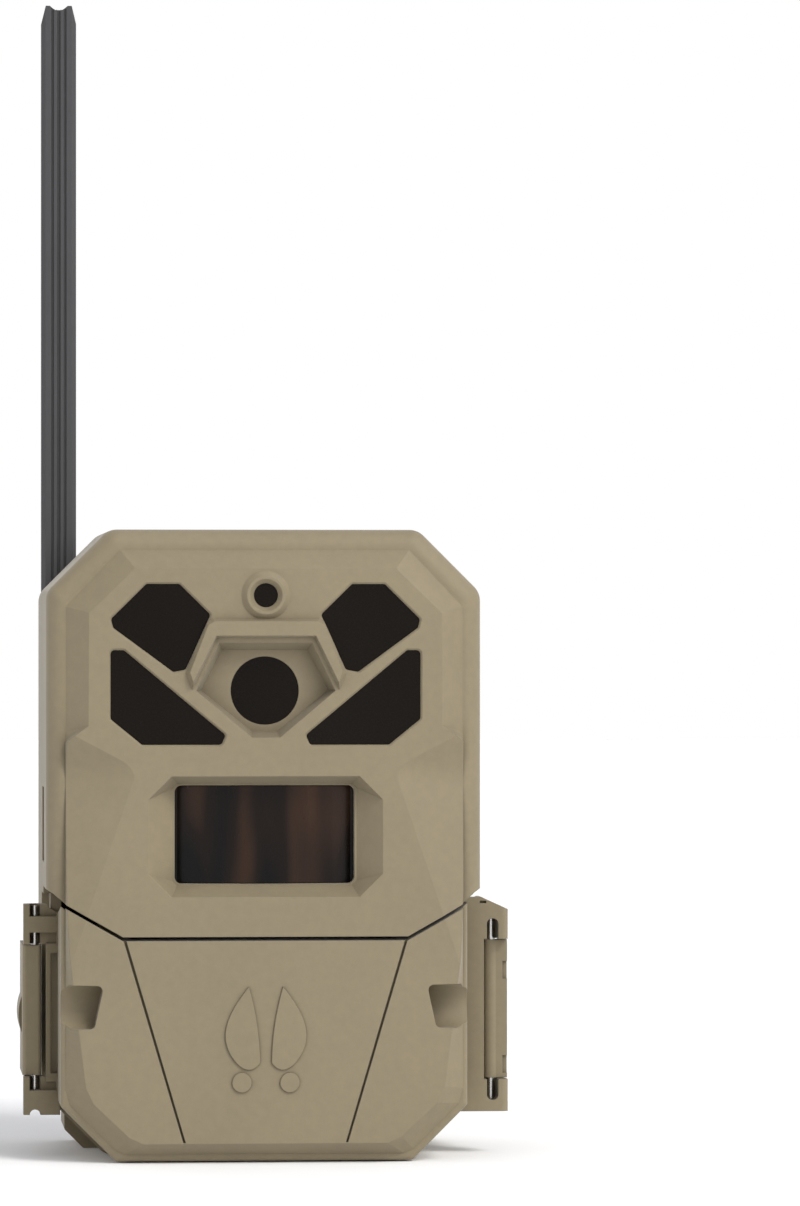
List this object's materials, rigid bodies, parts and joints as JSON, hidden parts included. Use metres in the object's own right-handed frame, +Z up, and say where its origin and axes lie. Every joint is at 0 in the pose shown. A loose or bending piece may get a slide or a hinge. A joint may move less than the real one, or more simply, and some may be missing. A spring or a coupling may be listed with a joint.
{
  "type": "trail camera",
  "caption": "Cellular trail camera with a hinged battery door, side latch, folding blade antenna, infrared windows and a tree bracket.",
  "frame": {"origin": "centre of the camera's whole box, on the surface it stands on", "axes": "+Z up along the antenna, -Y towards what the lens sees, +X towards the door hinge"},
  "size_m": [0.128, 0.084, 0.3055],
  "materials": {
    "housing": "matte moulded",
    "window": "gloss tinted",
    "fresnel": "gloss tinted",
    "black_plastic": "matte",
    "antenna": "satin",
    "rubber": "matte",
    "steel": "polished",
    "brass": "satin",
    "board": "solder mask",
    "component": "matte",
    "cell": "satin",
    "lens_glass": "clear",
    "light_pipe": "clear",
    "led": "clear"
  },
  "bodies": {
    "body": {"front_housing": "housing", "rear_housing": "housing", "control_panel": "black_plastic", "ir_window_upper_right": "window", "ir_window_upper_left": "window", "ir_window_lower_right": "window", "ir_window_lower_left": "window", "lens_window": "window", "light_sensor_window": "window", "pir_fresnel_lens": "fresnel", "pir_sensor": "steel", "pir_board": "board", "light_sensor": "component", "lens_barrel": "black_plastic", "lens_elements": "lens_glass", "lens_holder": "black_plastic", "image_sensor": "component", "led_board": "board", "ir_leds": "led", "main_board": "board", "modem_shield": "steel", "sim_holder": "steel", "processor": "component", "card_slot": "steel", "control_board": "board", "tact_switches": "component", "status_light_pipes": "light_pipe", "bay_contacts": "steel", "dc_jack": "black_plastic", "housing_gasket": "rubber", "door_gasket": "rubber", "tripod_insert": "brass", "housing_screws": "steel", "antenna_base": "antenna", "antenna_screw": "steel"},
    "door": {"door": "housing", "hinge_pin": "steel", "latch_pin": "steel"},
    "latch": {"latch_lever": "housing"},
    "antenna": {"antenna_blade": "antenna"},
    "tray": {"battery_tray": "black_plastic", "aa_cells": "cell", "contact_springs": "steel"},
    "card": {"memory_card": "component"},
    "power_key": {"power_button": "rubber"},
    "mode_key": {"mode_button": "rubber"},
    "filter": {"ir_cut_filter": "lens_glass"},
    "plug": {"dc_plug": "rubber"}
  },
  "joints": [
    {"name": "door_hinge", "type": "hinge", "parent": "body", "child": "door", "pos_m": [0.05985, -0.01, 0.04], "axis": [0, 0, 1], "range_deg": [0, 95]},
    {"name": "latch_pivot", "type": "hinge", "parent": "door", "child": "latch", "pos_m": [-0.05995, -0.01, 0.04], "axis": [0, 0, 1], "range_deg": [0, 75]},
    {"name": "antenna_fold", "type": "hinge", "parent": "body", "child": "antenna", "pos_m": [-0.052, 0.0394, 0.136], "axis": [0, -1, 0], "range_deg": [0, 135]},
    {"name": "tray_slide", "type": "slide", "parent": "body", "child": "tray", "axis": [0, -1, 0], "range_m": [0, 0.0055]},
    {"name": "card_slide", "type": "slide", "parent": "body", "child": "card", "axis": [0, -1, 0], "range_m": [0, 0.018]},
    {"name": "power_press", "type": "slide", "parent": "body", "child": "power_key", "axis": [0, 1, 0], "range_m": [0, 0.001], "stiffness_N_per_m": 800},
    {"name": "mode_press", "type": "slide", "parent": "body", "child": "mode_key", "axis": [0, 1, 0], "range_m": [0, 0.001], "stiffness_N_per_m": 800},
    {"name": "filter_slide", "type": "slide", "parent": "body", "child": "filter", "axis": [1, 0, 0], "range_m": [0, 0.007]},
    {"name": "plug_pull", "type": "slide", "parent": "body", "child": "plug", "axis": [0, 0, -1], "range_m": [0, 0.008]}
  ]
}
